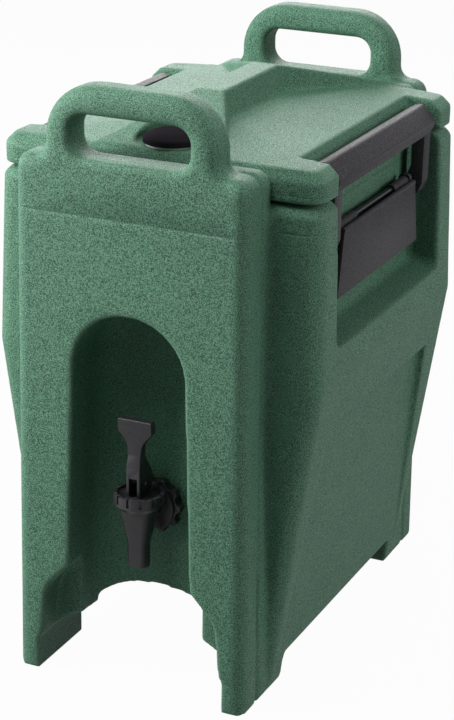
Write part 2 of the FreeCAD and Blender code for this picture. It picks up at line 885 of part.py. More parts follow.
def make_body_shell(foam_space):
    wings = make_wings()
    front = make_panel("front_panel", 1)
    rear = make_panel("rear_panel", -1)
    valleys = [
        make_valley(f"valley_{number}", across, along)
        for number, (across, along) in enumerate(((1, -1), (-1, -1), (1, 1), (-1, 1)), start=1)
    ]
    block = fuse("body_block", wings, front, rear, *valleys)
    under = box("under_skirt", (-size.wing_half_width_parting, size.wing_half_width_parting),
                (-foot_inner_end, foot_inner_end), (as_size(-MARGIN), size.foot_height))
    recess = make_recess("recess", as_size(0))
    side_panel = make_side_panel("side_panel", as_size(0))
    shank_hole = cylinder("shank_hole", "Y", (as_size(0), size.tap_height), size.shank_radius + size.shank_gap,
                          -alcove_back - MARGIN, -size.tank_front_low + MARGIN)
    screw_holes = make_screw_holes("shell_screw_holes", size.screw_radius + size.pin_clearance)
    foam_hole = cylinder("body_foam_hole", "Z", (as_size(0), size.foam_hole_reach),
                         size.foam_hole_radius + size.pin_clearance, size.inner_arch_crown - MARGIN,
                         size.inner_arch_crown + size.body_wall + MARGIN)
    return label(cut("body_shell", block, under, make_tunnel("tunnel", as_size(0)),
                     make_alcove("alcove", as_size(0)), make_bell("bell", as_size(0)),
                     recess, mirrored("recess_left", recess),
                     side_panel, mirrored("side_panel_left", side_panel),
                     make_tank("tank", as_size(0)), foam_space, shank_hole,
                     screw_holes, mirrored("shell_screw_holes_left", screw_holes), foam_hole), "body_shell")


def make_foam_plug(name, reach, seat):
    """A press-in plug for a foaming hole, its head below the seat and its spigot above it."""
    centre = (as_size(0), reach)
    head = cylinder(f"{name}_head", "Z", centre, size.foam_hole_radius + size.foam_plug_lip,
                    seat - size.foam_plug_head, seat)
    spigot = cylinder(f"{name}_spigot", "Z", centre, size.foam_hole_radius, seat, seat + size.foam_plug_length)
    return label(fuse(name, head, spigot), name)


def make_foam_plug_room(name, reach, seat):
    """What the foam leaves free round the plug's spigot."""
    return cylinder(name, "Z", (as_size(0), reach), size.foam_hole_radius + size.foam_gap,
                    seat - MARGIN, seat + size.foam_plug_length + size.foam_gap)


def make_body_foam():
    radius = size.screw_radius + size.foam_gap
    right = make_screw_holes("foam_screw_holes", radius)
    room = make_foam_plug_room("body_foam_plug_room", size.foam_hole_reach, body_plug_seat)
    return label(cut("body_foam", make_cavity("body_foam_form", size.foam_gap),
                     right, mirrored("foam_screw_holes_left", right), room), "body_foam")


# Lid

def make_lid_block():
    """The lid's straight sides and the bevel round its top edge."""
    body = new_body("lid_block")
    top_corner = size.lid_corner - size.lid_bevel
    sections = [
        ("bottom", lid_bottom, size.lid_half_width, size.lid_half_depth, size.lid_corner),
        ("side", lid_side_top, size.lid_half_width, size.lid_half_depth, size.lid_corner),
        ("rim", lid_rim_top, size.lid_half_width - size.lid_bevel, size.lid_half_depth - size.lid_bevel,
         top_corner),
    ]
    outlines = []
    for name, height, half_width, half_depth, corner in sections:
        corners = rectangle(half_width, (-half_depth, half_depth), corner)
        outlines.append(outline(body, f"lid_{name}", "XY", corners, height))
    loft(body, "lid_loft", outlines)
    return body


def make_lid_roof():
    """The shallow hipped roof inside the bevel."""
    body = new_body("lid_roof")
    half_depth = size.lid_half_depth - size.lid_bevel
    corner = size.lid_corner - size.lid_bevel
    low = rectangle(size.lid_half_width - size.lid_bevel, (-half_depth, half_depth), corner)
    high = rectangle(size.lid_roof_half_width, (-size.ridge_half_length, size.lid_roof_rear), 3)
    loft(body, "lid_roof_loft", [
        outline(body, "lid_roof_low", "XY", low, lid_rim_top),
        outline(body, "lid_roof_high", "XY", high, size.lid_roof_height),
    ])
    return body


def make_ridge(name, inset):
    """The central ridge, which widens as it falls to the front and to the rear."""
    body = new_body(name)
    low = lid_side_top - 4
    sections = [
        ("front", size.front_slope_reach - inset, size.front_slope_half_width, size.front_slope_height, 2),
        ("near", size.ridge_half_length, size.ridge_half_width, size.ridge_height, 12),
        ("far", -size.ridge_half_length, size.ridge_half_width, size.ridge_height, 12),
        ("rear", inset - size.rear_slope_reach, size.rear_slope_half_width, size.rear_slope_height, 5),
    ]
    outlines = []
    for part, offset, half_width, height, flare in sections:
        corners = both_sides([
            (half_width + flare - inset, low),
            (half_width - inset, height - inset),
        ])
        outlines.append(outline(body, f"{name}_{part}", "XZ", corners, offset))
    loft(body, f"{name}_loft", outlines)
    return body


def make_lid_notch():
    """The long notch in the lid's right side, with the ledge that the latch bail hooks over."""
    body = new_body("lid_notch")
    outside = size.lid_half_width + MARGIN
    above = size.ridge_height + MARGIN
    corners = [
        (ledge_edge, lid_bottom - MARGIN),
        (outside, lid_bottom - MARGIN),
        (outside, above),
        (notch_top, above),
        (notch_top, size.notch_top_height),
        (ledge_inner, size.ledge_height),
        (ledge_edge, size.ledge_height),
    ]
    pad(body, outline(body, "lid_notch_side", "XZ", corners), size.notch_half_length * 2, symmetric=True)
    return body


def make_vent_recess(name, grow):
    """The round flat that the vent cap stands on, sunk in the front slope."""
    return cylinder(name, "Z", (as_size(0), -size.vent_reach), size.vent_recess_radius + grow,
                    size.vent_seat_height - grow, size.ridge_height + MARGIN)


def lid_plug_outline(grow):
    """The outline of the lid's plug, which goes into the tank's mouth with a gap all round."""
    gap = size.lid_plug_gap - grow
    half_width = size.tank_half_width - gap
    return rectangle(half_width, (gap - size.tank_front_high, size.tank_rear - gap), size.tank_corner - gap)


def make_lid_plug(name, grow, bottom, top):
    body = new_body(name)
    pad(body, outline(body, f"{name}_face", "XY", lid_plug_outline(grow), bottom), top - bottom)
    return body


def make_lid_cavity(name, gap):
    """The space for foam in the lid, drawn in from it by a gap."""
    inset = size.body_wall + gap
    low = lid_bottom + inset
    half_width = notch_top - inset
    half_depth = size.lid_half_depth - size.lid_bevel - inset
    rim = box(f"{name}_rim", (-half_width, half_width), (-half_depth, half_depth), (low, lid_rim_top - inset))
    plug = make_lid_plug(f"{name}_plug", -inset, lid_plug_bottom + inset, low + MARGIN)
    sleeve = cylinder(f"{name}_sleeve", "Z", (as_size(0), -size.vent_reach), size.vent_neck_radius + inset,
                      lid_plug_bottom - MARGIN, size.ridge_height)
    block = fuse(f"{name}_block", rim, plug, make_ridge(f"{name}_ridge", inset))
    return cut(name, block, make_vent_recess(f"{name}_recess", inset), sleeve)


def make_lid_shell():
    block = fuse("lid_whole", make_lid_block(), make_lid_roof(), make_ridge("lid_ridge", as_size(0)),
                 make_lid_plug("lid_plug", as_size(0), lid_plug_bottom, lid_bottom))
    notch = make_lid_notch()
    vent = (as_size(0), -size.vent_reach)
    neck = cylinder("vent_neck_bore", "Z", vent, size.vent_neck_radius + size.pin_clearance,
                    size.vent_seat_height - size.vent_neck_length - 0.5, size.ridge_height)
    bore = cylinder("vent_bore", "Z", vent, size.vent_bore_radius, lid_plug_bottom - MARGIN,
                    size.vent_seat_height)
    foam_hole = cylinder("lid_foam_hole", "Z", (as_size(0), size.foam_hole_reach),
                         size.foam_hole_radius + size.pin_clearance, lid_plug_bottom - MARGIN,
                         lid_plug_bottom + size.body_wall + MARGIN)
    return label(cut("lid_shell", block, notch, mirrored("lid_notch_left", notch),
                     make_vent_recess("vent_recess", as_size(0)), make_lid_cavity("lid_space", as_size(0)),
                     neck, bore, foam_hole), "lid_shell")


def make_lid_foam():
    room = make_foam_plug_room("lid_foam_plug_room", size.foam_hole_reach, lid_plug_bottom)
    return label(cut("lid_foam", make_lid_cavity("lid_foam_form", size.foam_gap), room), "lid_foam")


def make_gasket():
    """The flat ring under the lid's rim, round the plug."""
    body = new_body("lid_gasket")
    bottom = size.rim_height + size.gasket_gap
    outer = lid_plug_outline(size.gasket_gap + size.gasket_width)
    inner = lid_plug_outline(size.gasket_gap)
    pad(body, outline(body, "gasket_outer", "XY", outer, bottom), lid_bottom - bottom)
    pocket(body, outline(body, "gasket_inner", "XY", inner, bottom), lid_bottom - bottom, reverse=True)
    return label(body, "lid_gasket")


# Vent cap

def make_vent_cap():
    """The domed cap and the neck that it turns on."""
    body = new_body("vent_cap")
    seat = size.vent_seat_height + size.vent_seal_thickness
    neck_end = size.vent_seat_height - size.vent_neck_length
    corners = [
        (0, neck_end),
        (size.vent_neck_radius, neck_end),
        (size.vent_neck_radius, seat),
        (size.vent_cap_radius, seat),
        (size.vent_cap_radius, seat + size.vent_cap_height * 0.5, 2),
        (size.vent_cap_radius * 0.6, seat + size.vent_cap_height * 0.9, 12),
        (0, seat + size.vent_cap_height),
    ]
    turn(body, outline(body, "vent_cap_section", "XZ", corners), "vent_cap_turned")
    bind(body, {"Placement.Base.y": -size.vent_reach})
    return label(body, "vent_cap")


def make_ring(name, axis, centre, outer, inner, start, end):
    """A flat ring between two places on an axis."""
    disc = cylinder(f"{name}_disc", axis, centre, outer, start, end)
    hole = cylinder(f"{name}_hole", axis, centre, inner, start - MARGIN, end + MARGIN)
    return label(cut(name, disc, hole), name)


def make_vent_seal():
    return make_ring("vent_cap_seal", "Z", (as_size(0), -size.vent_reach), size.vent_cap_radius - 2,
                     size.vent_neck_radius + size.pin_clearance, size.vent_seat_height,
                     size.vent_seat_height + size.vent_seal_thickness)


# Latch on the right side, and its mirror image on the left

def both_ends(name, make):
    """A piece made at both ends of the latch; make is given 1 and -1."""
    return fuse(name, make(1), make(-1))


def along_y(end, near_end, far_end):
    """A stretch of y at one end of the latch, in rising order."""
    return (near_end, far_end) if end > 0 else (-far_end, -near_end)


def make_bracket():
    """The hinge bracket: a plate on the recess wall with an ear at each end."""
    plate_face = size.recess_back + size.bracket_thickness
    half_length = size.bracket_half_length
    middle = bracket_z
    plate = box("bracket_plate", (size.recess_back, plate_face), (-half_length, half_length),
                (middle - size.bracket_half_height, middle + size.bracket_half_height))
    ears = new_body("bracket_ears")
    corners = [
        (plate_face - 1, middle - size.bracket_half_height + 2),
        (hinge_x + size.ear_radius * 0.86, size.hinge_height - size.ear_radius * 0.51),
        (hinge_x - size.ear_radius, size.hinge_height),
        (plate_face - 1, middle + size.bracket_half_height - 1),
    ]
    pad(ears, outline(ears, "bracket_ear_side", "XZ", corners), half_length * 2, symmetric=True)
    hinge = (hinge_x, size.hinge_height)
    knuckles = cylinder("bracket_knuckles", "Y", hinge, size.ear_radius, -half_length, half_length)
    between = box("bracket_between", (plate_face, hinge_x + size.ear_radius + MARGIN),
                  (size.ear_thickness - half_length, half_length - size.ear_thickness),
                  (middle - size.bracket_half_height - MARGIN, size.hinge_height + size.ear_radius + MARGIN))
    rod_hole = cylinder("bracket_rod_hole", "Y", hinge, size.pin_radius + size.pin_clearance,
                        -half_length - MARGIN, half_length + MARGIN)
    holes = make_screw_holes("bracket_screw_holes", size.screw_radius + size.pin_clearance)
    whole = fuse("bracket_whole", plate, ears, knuckles)
    return label(cut("latch_bracket_right", whole, between, rod_hole, holes), "latch_bracket_right")


def make_bracket_screws():
    """Four pan head screws through the bracket into the wall."""
    face = size.recess_back + size.bracket_thickness
    screws = []
    for number, (y, z) in enumerate(screw_places(), start=1):
        shank = cylinder(f"bracket_screw_shank_{number}", "X", (y, z), size.screw_radius,
                         size.recess_back - size.screw_length, face)
        head = cylinder(f"bracket_screw_head_{number}", "X", (y, z), size.screw_head_radius,
                        face, face + size.screw_head_height)
        slot = box(f"bracket_screw_slot_{number}", (face + size.screw_head_height * 0.5, face + MARGIN),
                   (y - MARGIN, y + MARGIN), (z - 0.6, z + 0.6))
        screws.append(cut(f"bracket_screw_{number}", fuse(f"bracket_screw_whole_{number}", shank, head), slot))
    return label(fuse("latch_screws_right", *screws), "latch_screws_right")


def make_hinge_rod():
    end = web_outer + 1
    hinge = (hinge_x, size.hinge_height)
    return label(cylinder("latch_hinge_rod_right", "Y", hinge, size.pin_radius, -end, end),
                 "latch_hinge_rod_right")


def make_bail_pins():
    def pin(end):
        start, stop = along_y(end, web_inner, size.bail_half_length - 2)
        return cylinder(f"bail_pin_{'far' if end > 0 else 'near'}", "Y", (bail_pin_x, bail_pin_z),
                        size.pin_radius, start, stop)

    return label(both_ends("latch_bail_pins_right", pin), "latch_bail_pins_right")


def make_latch_lever():
    """The wide lever plate with its rolled top and lip, and the webs that carry the rod and the pins."""
    inner = size.recess_back + size.lever_face_offset - size.lever_thickness
    plate = new_body("lever_plate")
    face = [
        (-size.lever_half_length_low, size.lever_bottom),
        (size.lever_half_length_low, size.lever_bottom),
        (size.lever_half_length_top, size.lever_top),
        (-size.lever_half_length_top, size.lever_top),
    ]
    pad(plate, outline(plate, "lever_face", "YZ", face, inner), size.lever_thickness)
    lip = box("lever_lip", (inner - size.lever_lip, inner),
              (-size.lever_half_length_low, size.lever_half_length_low),
              (size.lever_bottom, size.lever_bottom + size.lever_thickness))
    webs = new_body("lever_webs")
    corners = [
        (bail_pin_x - size.web_radius, bail_pin_z - size.web_radius, size.web_radius - 0.5),
        (inner + 0.5, bail_pin_z - size.web_radius),
        (inner + 0.5, size.hinge_height + size.web_radius, 4),
        (hinge_x - size.web_radius, size.hinge_height + size.web_radius, size.web_radius - 0.5),
    ]
    pad(webs, outline(webs, "lever_web_side", "XZ", corners), web_outer * 2, symmetric=True)
    gap = box("lever_web_gap_room", (bail_pin_x - size.web_radius - MARGIN, inner), (-web_inner, web_inner),
              (bail_pin_z - size.web_radius - MARGIN, size.hinge_height + size.web_radius + MARGIN))
    above = box("lever_web_above_room", (inner, inner + size.lever_thickness), (-web_inner, web_inner),
                (size.lever_top, size.hinge_height + size.web_radius + MARGIN))
    roll = cylinder("lever_roll", "Y", (inner + size.lever_roll_radius, size.lever_top),
                    size.lever_roll_radius, -size.lever_half_length_top, size.lever_half_length_top)
    reach = web_outer + MARGIN
    radius = size.pin_radius + size.pin_clearance
    rod_hole = cylinder("lever_rod_hole", "Y", (hinge_x, size.hinge_height), radius, -reach, reach)
    pin_hole = cylinder("lever_pin_hole", "Y", (bail_pin_x, bail_pin_z), radius, -reach, reach)
    whole = fuse("lever_whole", plate, lip, cut("lever_webs_apart", webs, gap, above), roll)
    return label(cut("latch_lever_right", whole, rod_hole, pin_hole), "latch_lever_right")


def make_bail():
    """The bail: the bar that hooks over the lid's ledge, an arm at each end, and their bosses."""
    half_length = size.bail_half_length
    inner = ledge_edge + size.bail_lid_gap
    outer = size.recess_back + size.bail_outer_offset
    nose = ledge_edge - size.bail_nose_reach
    hook = size.ledge_height + size.bail_nose_gap
    top = size.bail_top_height
    bottom = size.bail_bar_bottom
    bar = new_body("bail_bar")
    section = [
        (nose, hook),
        (nose, top - 2),
        (nose + 8, top, 5),
        (outer, top - 13.5, 4),
        (outer, top - 18, 3),
        (outer - 3.5, bottom),
        (inner, bottom),
        (inner, hook),
    ]
    pad(bar, outline(bar, "bail_section", "XZ", section), half_length * 2, symmetric=True)
    arms = new_body("bail_arms")
    side = [
        (bail_pin_x - 6.2, bail_pin_z - 6.5, 6),
        (bail_pin_x + 7.5, bail_pin_z - 6.5, 6.4),
        (bail_pin_x + 12, bail_pin_z + 5, 6),
        (outer - 3.5, bottom + 3),
        (inner, bottom + 3),
        (bail_pin_x + 1, bail_pin_z + 20),
        (bail_pin_x - 6.2, bail_pin_z + 4),
    ]
    pad(arms, outline(arms, "bail_arm_side", "XZ", side), half_length * 2, symmetric=True)
    pin = (bail_pin_x, bail_pin_z)
    arm_inner = half_length - size.bail_arm_width
    boss_inner = arm_inner - size.bail_boss_length
    window = box("bail_window", (bail_pin_x - MARGIN * 2, outer + MARGIN), (-arm_inner, arm_inner),
                 (bail_pin_z - MARGIN * 2, bottom))

    def boss(end):
        start, stop = along_y(end, boss_inner, arm_inner)
        return cylinder(f"bail_boss_{'far' if end > 0 else 'near'}", "Y", pin, size.bail_boss_radius,
                        start, stop)

    def bore(end):
        start, stop = along_y(end, boss_inner - MARGIN, half_length - 1.8)
        return cylinder(f"bail_bore_{'far' if end > 0 else 'near'}", "Y", pin,
                        size.pin_radius + size.pin_clearance, start, stop)

    whole = fuse("bail_whole", bar, cut("bail_arms_apart", arms, window), both_ends("bail_bosses", boss))
    return label(cut("latch_bail_right", whole, both_ends("bail_bores", bore)), "latch_bail_right")


# Tap

def make_tap_body():
    """The tap's barrel with its seat and spout, and the shank that goes through the wall."""
    barrel = new_body("tap_barrel")
    section = [
        (size.outlet_radius, size.spout_bottom),
        (size.spout_radius, size.spout_bottom),
        (size.spout_radius + 0.4, size.spout_taper_end),
        (size.barrel_radius, size.barrel_top),
        (size.chamber_radius, size.barrel_top),
        (size.chamber_radius, size.seat_height),
        (size.outlet_radius, size.seat_height),
    ]
    turn(barrel, outline(barrel, "tap_barrel_section", "XZ", section), "tap_barrel_turned")
    bind(barrel, {"Placement.Base.y": -tap_reach})
    axis = (as_size(0), size.tap_height)
    flange_back = collar_front
    flange_front = flange_back - size.tap_flange_thickness
    neck = cylinder("tap_neck", "Y", axis, size.tap_neck_radius, -tap_reach, flange_front + 1)
    flange = cylinder("tap_flange", "Y", axis, tap_flange_radius, flange_front, flange_back)
    shank = cylinder("tap_shank", "Y", axis, size.shank_radius, flange_front + 1, -shank_end)
    chamber = cylinder("tap_chamber", "Z", (as_size(0), -tap_reach), size.chamber_radius,
                       size.seat_height, size.barrel_top + MARGIN)
    bore = cylinder("tap_shank_bore", "Y", axis, size.shank_bore, -tap_reach, -shank_end + MARGIN)
    facet = new_body("spout_facet")
    low = -tap_reach - size.spout_flat_low
    high = -tap_reach - size.spout_flat_top
    front = -tap_reach - size.barrel_radius - MARGIN
    corners = [
        (low, size.spout_bottom - MARGIN),
        (low, size.spout_taper_end),
        (high, size.barrel_top),
        (front, size.barrel_top),
        (front, size.spout_bottom - MARGIN),
    ]
    pad(facet, outline(facet, "spout_facet_side", "YZ", corners), size.barrel_radius * 2 + MARGIN,
        symmetric=True)
    return label(cut("tap_body", fuse("tap_body_whole", barrel, neck, flange, shank), chamber, bore, facet),
                 "tap_body")


def make_bonnet():
    """The bonnet over the spring, with its castellated rim and the guide for the stem."""
    body = new_body("tap_bonnet")
    rim_inner = size.bonnet_radius - 3
    plug = size.chamber_radius - size.pin_clearance
    section = [
        (size.bonnet_spring_radius, size.barrel_top - size.bonnet_plug_length),
        (plug, size.barrel_top - size.bonnet_plug_length),
        (plug, size.barrel_top),
        (size.barrel_radius, size.barrel_top),
        (size.bonnet_radius - 1, bonnet_skirt),
        (size.bonnet_radius, bonnet_skirt),
        (size.bonnet_radius, size.bonnet_top),
        (rim_inner, size.bonnet_top),
        (rim_inner, bonnet_deck_top),
        (size.stem_radius + size.pin_clearance, bonnet_deck_top),
        (size.stem_radius + size.pin_clearance, spring_top),
        (size.bonnet_spring_radius, spring_top),
    ]
    turn(body, outline(body, "bonnet_section", "XZ", section), "bonnet_turned")
    half = size.bonnet_notch_width / 2
    inner = size.bonnet_radius - size.bonnet_notch_depth
    notch = rectangle(half, (-size.bonnet_radius - 1, -inner))
    notch_sketch = outline(body, "bonnet_notch", "XY", notch, size.bonnet_top - size.bonnet_notch_height)
    first = pocket(body, notch_sketch, size.bonnet_notch_height + 1, reverse=True)
    ring_of(body, first, notch_sketch, size.bonnet_notches)
    bind(body, {"Placement.Base.y": -tap_reach})
    return label(body, "tap_bonnet")


def ring_of(body, feature, sketch, count):
    """The feature repeated evenly about the sketch's normal through the origin."""
    pattern = body.newObject("PartDesign::PolarPattern", f"{feature.Name}_ring")
    pattern.Originals = [feature]
    pattern.Axis = (sketch, ["N_Axis"])
    pattern.Angle = 360
    bind(pattern, {"Occurrences": count})
    body.Tip = pattern
    return pattern


def make_tap_lever():
    """The lever: a forked foot that rocks on the bonnet, a neck with a knee, and a finger paddle."""
    front = new_body("tap_lever_front")
    foot = bonnet_deck_top + size.tap_lever_foot_gap
    knee = size.tap_knee_height
    across = both_sides([
        (size.tap_lever_half_width, foot),
        (size.tap_lever_half_width, knee - 6),
        (size.tap_lever_half_width - 0.5, knee + 2),
        (size.tap_lever_half_width + 0.6, knee + 14, 20),
        (size.paddle_half_width, size.paddle_bottom, 2),
        (size.paddle_half_width, size.paddle_top, 1.5),
    ])
    reach = size.tap_lever_half_depth * 2 + MARGIN * 2
    pad(front, outline(front, "tap_lever_across", "XZ", across), reach * 2, symmetric=True)
    side = new_body("tap_lever_side")
    face = -size.paddle_reach
    back = face + size.paddle_thickness
    half = size.tap_lever_half_depth
    along = [
        (-half, foot, size.tap_lever_foot_radius),
        (half, foot, size.tap_lever_foot_radius),
        (half, foot + 20, 6),
        (back + 1, knee, 8),
        (back, size.paddle_top, 2),
        (face, size.paddle_top, 1),
        (face, knee + 4, 12),
        (-half, knee - 8, 4),
    ]
    pad(side, outline(side, "tap_lever_along", "YZ", along), size.paddle_half_width * 2 + MARGIN,
        symmetric=True)
    fork = box("tap_lever_fork", (-size.tap_lever_fork_gap, size.tap_lever_fork_gap), (-reach, reach),
               (foot - MARGIN, size.tap_lever_fork_top))
    hole = cylinder("tap_lever_pin_hole", "X", (as_size(0), size.tap_pin_height),
                    size.tap_pin_radius + size.pin_clearance, -size.paddle_half_width, size.paddle_half_width)
    form = cut("tap_lever_form", common("tap_lever_whole", front, side), fork, hole)
    return moved("tap_lever", form, {"Placement.Base.y": -tap_reach})


def moved(name, source, place):
    """A piece modelled about the vertical axis, put where it belongs."""
    feature = doc.addObject("Part::Compound", f"{name}_moved")
    feature.Links = [source]
    bind(feature, place)
    return label(feature, name)


def make_tap_stem():
    """The stem, with the collar that the spring pushes on and the eye for the lever pin."""
    body = new_body("tap_stem_turned")
    cup_bore_end = size.seat_height + 1.5
    section = [
        (0, cup_bore_end),
        (size.stem_radius, cup_bore_end),
        (size.stem_radius, size.seat_height + size.cup_height),
        (size.stem_shoulder_radius, size.seat_height + size.cup_height),
        (size.stem_shoulder_radius, spring_bottom),
        (size.stem_radius, spring_bottom),
        (size.stem_radius, size.stem_top),
        (0, size.stem_top),
    ]
    turn(body, outline(body, "tap_stem_section", "XZ", section), "tap_stem_section_turned")
    bind(body, {"Placement.Base.y": -tap_reach})
    eye = cylinder("tap_stem_eye", "X", (-tap_reach, size.tap_pin_height),
                   size.tap_pin_radius + size.pin_clearance, -size.stem_radius - 1, size.stem_radius + 1)
    return label(cut("tap_stem", body, eye), "tap_stem")


def make_seat_cup():
    """The soft cup that closes the seat, pushed on to the stem's end."""
    axis = (as_size(0), -tap_reach)
    disc = cylinder("tap_seat_cup_disc", "Z", axis, size.cup_radius, size.seat_height,
                    size.seat_height + size.cup_height)
    bore = cylinder("tap_seat_cup_bore", "Z", axis, size.stem_radius + size.pin_clearance,
                    size.seat_height + 1.5, size.seat_height + size.cup_height + 1)
    return label(cut("tap_seat_cup", disc, bore), "tap_seat_cup")


def make_tap_spring():
    """The spring that holds the cup on its seat: an open coil between the stem's collar and the bonnet."""
    body = new_body("tap_spring")
    wire = size.spring_wire / 2
    profile = circle(body, "spring_wire_section", "XZ", (size.spring_radius, spring_bottom + wire), wire)
    coil = body.newObject("PartDesign::AdditiveHelix", "spring_coil")
    coil.Profile = profile
    coil.ReferenceAxis = (profile, ["V_Axis"])
    coil.Mode = "height-turns-angle"
    bind(coil, {"Height": spring_top - spring_bottom - size.spring_wire, "Turns": size.spring_turns})
    bind(body, {"Placement.Base.y": -tap_reach})
    return label(body, "tap_spring")


def make_collar():
    """The lobed collar between the tap and the wall."""
    body = new_body("tap_collar")
    axis = (as_size(0), size.tap_height)
    front = -collar_front
    pad(body, circle(body, "collar_outer", "XZ", (0, 0), collar_radius, front), size.collar_thickness,
        reverse=True)
    pocket(body, circle(body, "collar_bore", "XZ", (0, 0), size.shank_radius + size.pin_clearance, front),
           size.collar_thickness)
    lobe = circle(body, "collar_lobe_gap", "XZ", (0, collar_radius + 2), 6, front)
    ring_of(body, pocket(body, lobe, size.collar_thickness), lobe, size.collar_lobes)
    bind(body, {"Placement.Base.z": axis[1]})
    return label(body, "tap_collar")


def make_lock_nut():
    """The hexagon nut inside the tank."""
    body = new_body("tap_lock_nut")
    start = inner_washer_end
    corners = []
    for number in range(6):
        angle = math.radians(60 * number)
        corners.append((lock_nut_radius * math.cos(angle), lock_nut_radius * math.sin(angle)))
    pad(body, outline(body, "lock_nut_face", "XZ", corners, -start), size.lock_nut_thickness, reverse=True)
    pocket(body, circle(body, "lock_nut_bore", "XZ", (0, 0), size.shank_radius + size.pin_clearance, -start),
           size.lock_nut_thickness)
    bind(body, {"Placement.Base.z": size.tap_height})
    return label(body, "tap_lock_nut")


# The whole carrier

foam_space = make_cavity("foam_space", as_size(0))
right_latch = [
    make_bracket(),
    make_bracket_screws(),
    make_hinge_rod(),
    make_latch_lever(),
    make_bail_pins(),
    make_bail(),
]
left_latch = [label(mirrored(piece.Label.replace("right", "left"), piece), piece.Label.replace("right", "left"))
              for piece in right_latch]
lever_pin = cylinder("tap_lever_pin", "X", (-tap_reach, size.tap_pin_height), size.tap_pin_radius,
                     -size.tap_lever_half_width, size.tap_lever_half_width)
pieces = [
    make_body_shell(foam_space),
    make_body_foam(),
    make_foam_plug("body_foam_plug", size.foam_hole_reach, body_plug_seat),
    make_lid_shell(),
    make_lid_foam(),
    make_foam_plug("lid_foam_plug", size.foam_hole_reach, lid_plug_bottom),
    make_gasket(),
    make_vent_cap(),
    make_vent_seal(),
    *right_latch,
    *left_latch,
    make_tap_body(),
    make_bonnet(),
    make_tap_lever(),
    label(lever_pin, "tap_lever_pin"),
    make_tap_stem(),
    make_seat_cup(),
    make_tap_spring(),
    make_collar(),
    make_ring("tap_outer_washer", "Y", (as_size(0), size.tap_height), outer_washer_radius,
              size.shank_radius + size.pin_clearance, -alcove_back - size.outer_washer_thickness, -alcove_back),
    make_ring("tap_inner_washer", "Y", (as_size(0), size.tap_height), inner_washer_radius,
              size.shank_radius + size.pin_clearance, -size.tank_front_low, inner_washer_end),
    make_lock_nut(),
]
doc.recompute()

for feature in doc.Objects:
    if "Invalid" in feature.State or "Error" in feature.State:
        raise RuntimeError(f"{feature.Name} failed: {feature.State}")
for piece in pieces:
    if piece.Shape.isNull() or not piece.Shape.isValid() or not piece.Shape.Solids:
        raise RuntimeError(f"{piece.Label} isn't a sound solid")
    print(f"{piece.Label}: {len(piece.Shape.Solids)} solid, {piece.Shape.Volume / 1000:.2f} cm3")

os.makedirs("parts", exist_ok=True)
for piece in pieces:
    piece.Shape.exportStep(f"parts/{piece.Label}.step")
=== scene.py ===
"""The looks of the insulated beverage carrier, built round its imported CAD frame.

Lengths are in metres, in the frame of the CAD model: the tap faces -Y and Z is up.
"""

import math

import bmesh
import bpy
from mathutils import Matrix, Vector


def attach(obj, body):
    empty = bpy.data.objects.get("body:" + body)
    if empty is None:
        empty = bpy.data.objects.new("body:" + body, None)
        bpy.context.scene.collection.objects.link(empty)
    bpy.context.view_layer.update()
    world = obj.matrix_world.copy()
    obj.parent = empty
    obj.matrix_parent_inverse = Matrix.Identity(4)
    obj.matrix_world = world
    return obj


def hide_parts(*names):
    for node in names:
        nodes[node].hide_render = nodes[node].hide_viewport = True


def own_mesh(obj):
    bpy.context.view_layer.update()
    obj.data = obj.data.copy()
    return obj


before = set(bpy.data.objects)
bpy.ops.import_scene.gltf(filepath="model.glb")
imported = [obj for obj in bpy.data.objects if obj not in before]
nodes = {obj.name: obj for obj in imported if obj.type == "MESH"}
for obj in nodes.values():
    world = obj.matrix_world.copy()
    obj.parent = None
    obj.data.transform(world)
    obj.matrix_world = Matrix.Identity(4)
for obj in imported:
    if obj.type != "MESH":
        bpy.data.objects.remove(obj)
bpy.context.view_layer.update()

SIDES = ("right", "left")
SAME_POINT = 2e-6  # corners nearer than this are one corner


# Working by hand, in code

def take(piece):
    """Makes this piece the only one selected, and the active one."""
    bpy.ops.object.select_all(action="DESELECT")
    piece.select_set(True)
    bpy.context.view_layer.objects.active = piece


def edit(piece):
    """Opens the piece in edit mode with nothing selected."""
    take(piece)
    bpy.ops.object.mode_set(mode="EDIT")
    bpy.ops.mesh.select_mode(type="FACE")
    bpy.ops.mesh.select_all(action="DESELECT")


def done():
    """Leaves edit mode."""
    bpy.ops.object.mode_set(mode="OBJECT")


def traced(node, name):
    """A copy of a CAD node's mesh with its triangles joined, ready to be finished."""
    piece = bpy.data.objects.new(name, nodes[node].data.copy())
    bpy.context.scene.collection.objects.link(piece)
    piece.data.name = name
    piece.data.materials.clear()
    edit(piece)
    bpy.ops.mesh.select_all(action="SELECT")
    bpy.ops.mesh.remove_doubles(threshold=SAME_POINT)
    done()
    return piece


def apply(piece, kind, **settings):
    """Adds a modifier to the piece, sets it, and applies it."""
    take(piece)
    modifier = piece.modifiers.new(kind.title(), kind)
    for key, value in settings.items():
        setattr(modifier, key, value)
    bpy.ops.object.modifier_apply(modifier=modifier.name)


def smooth(piece, angle=None):
    """Shades the piece smooth, all over or up to an angle in degrees."""
    take(piece)
    if angle is None:
        bpy.ops.object.shade_smooth()
    else:
        bpy.ops.object.shade_smooth_by_angle(angle=math.radians(angle))


def paint(piece, material):
    """Makes this the piece's only material."""
    piece.data.materials.clear()
    piece.data.materials.append(material)


def finish_piece(piece, body, slot, material, *replaced):
    """Gives a piece its material and its body, and hides the CAD nodes that it stands for; the slot is not used.
    """
    paint(piece, material)
    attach(piece, body)
    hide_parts(*replaced)


# Materials

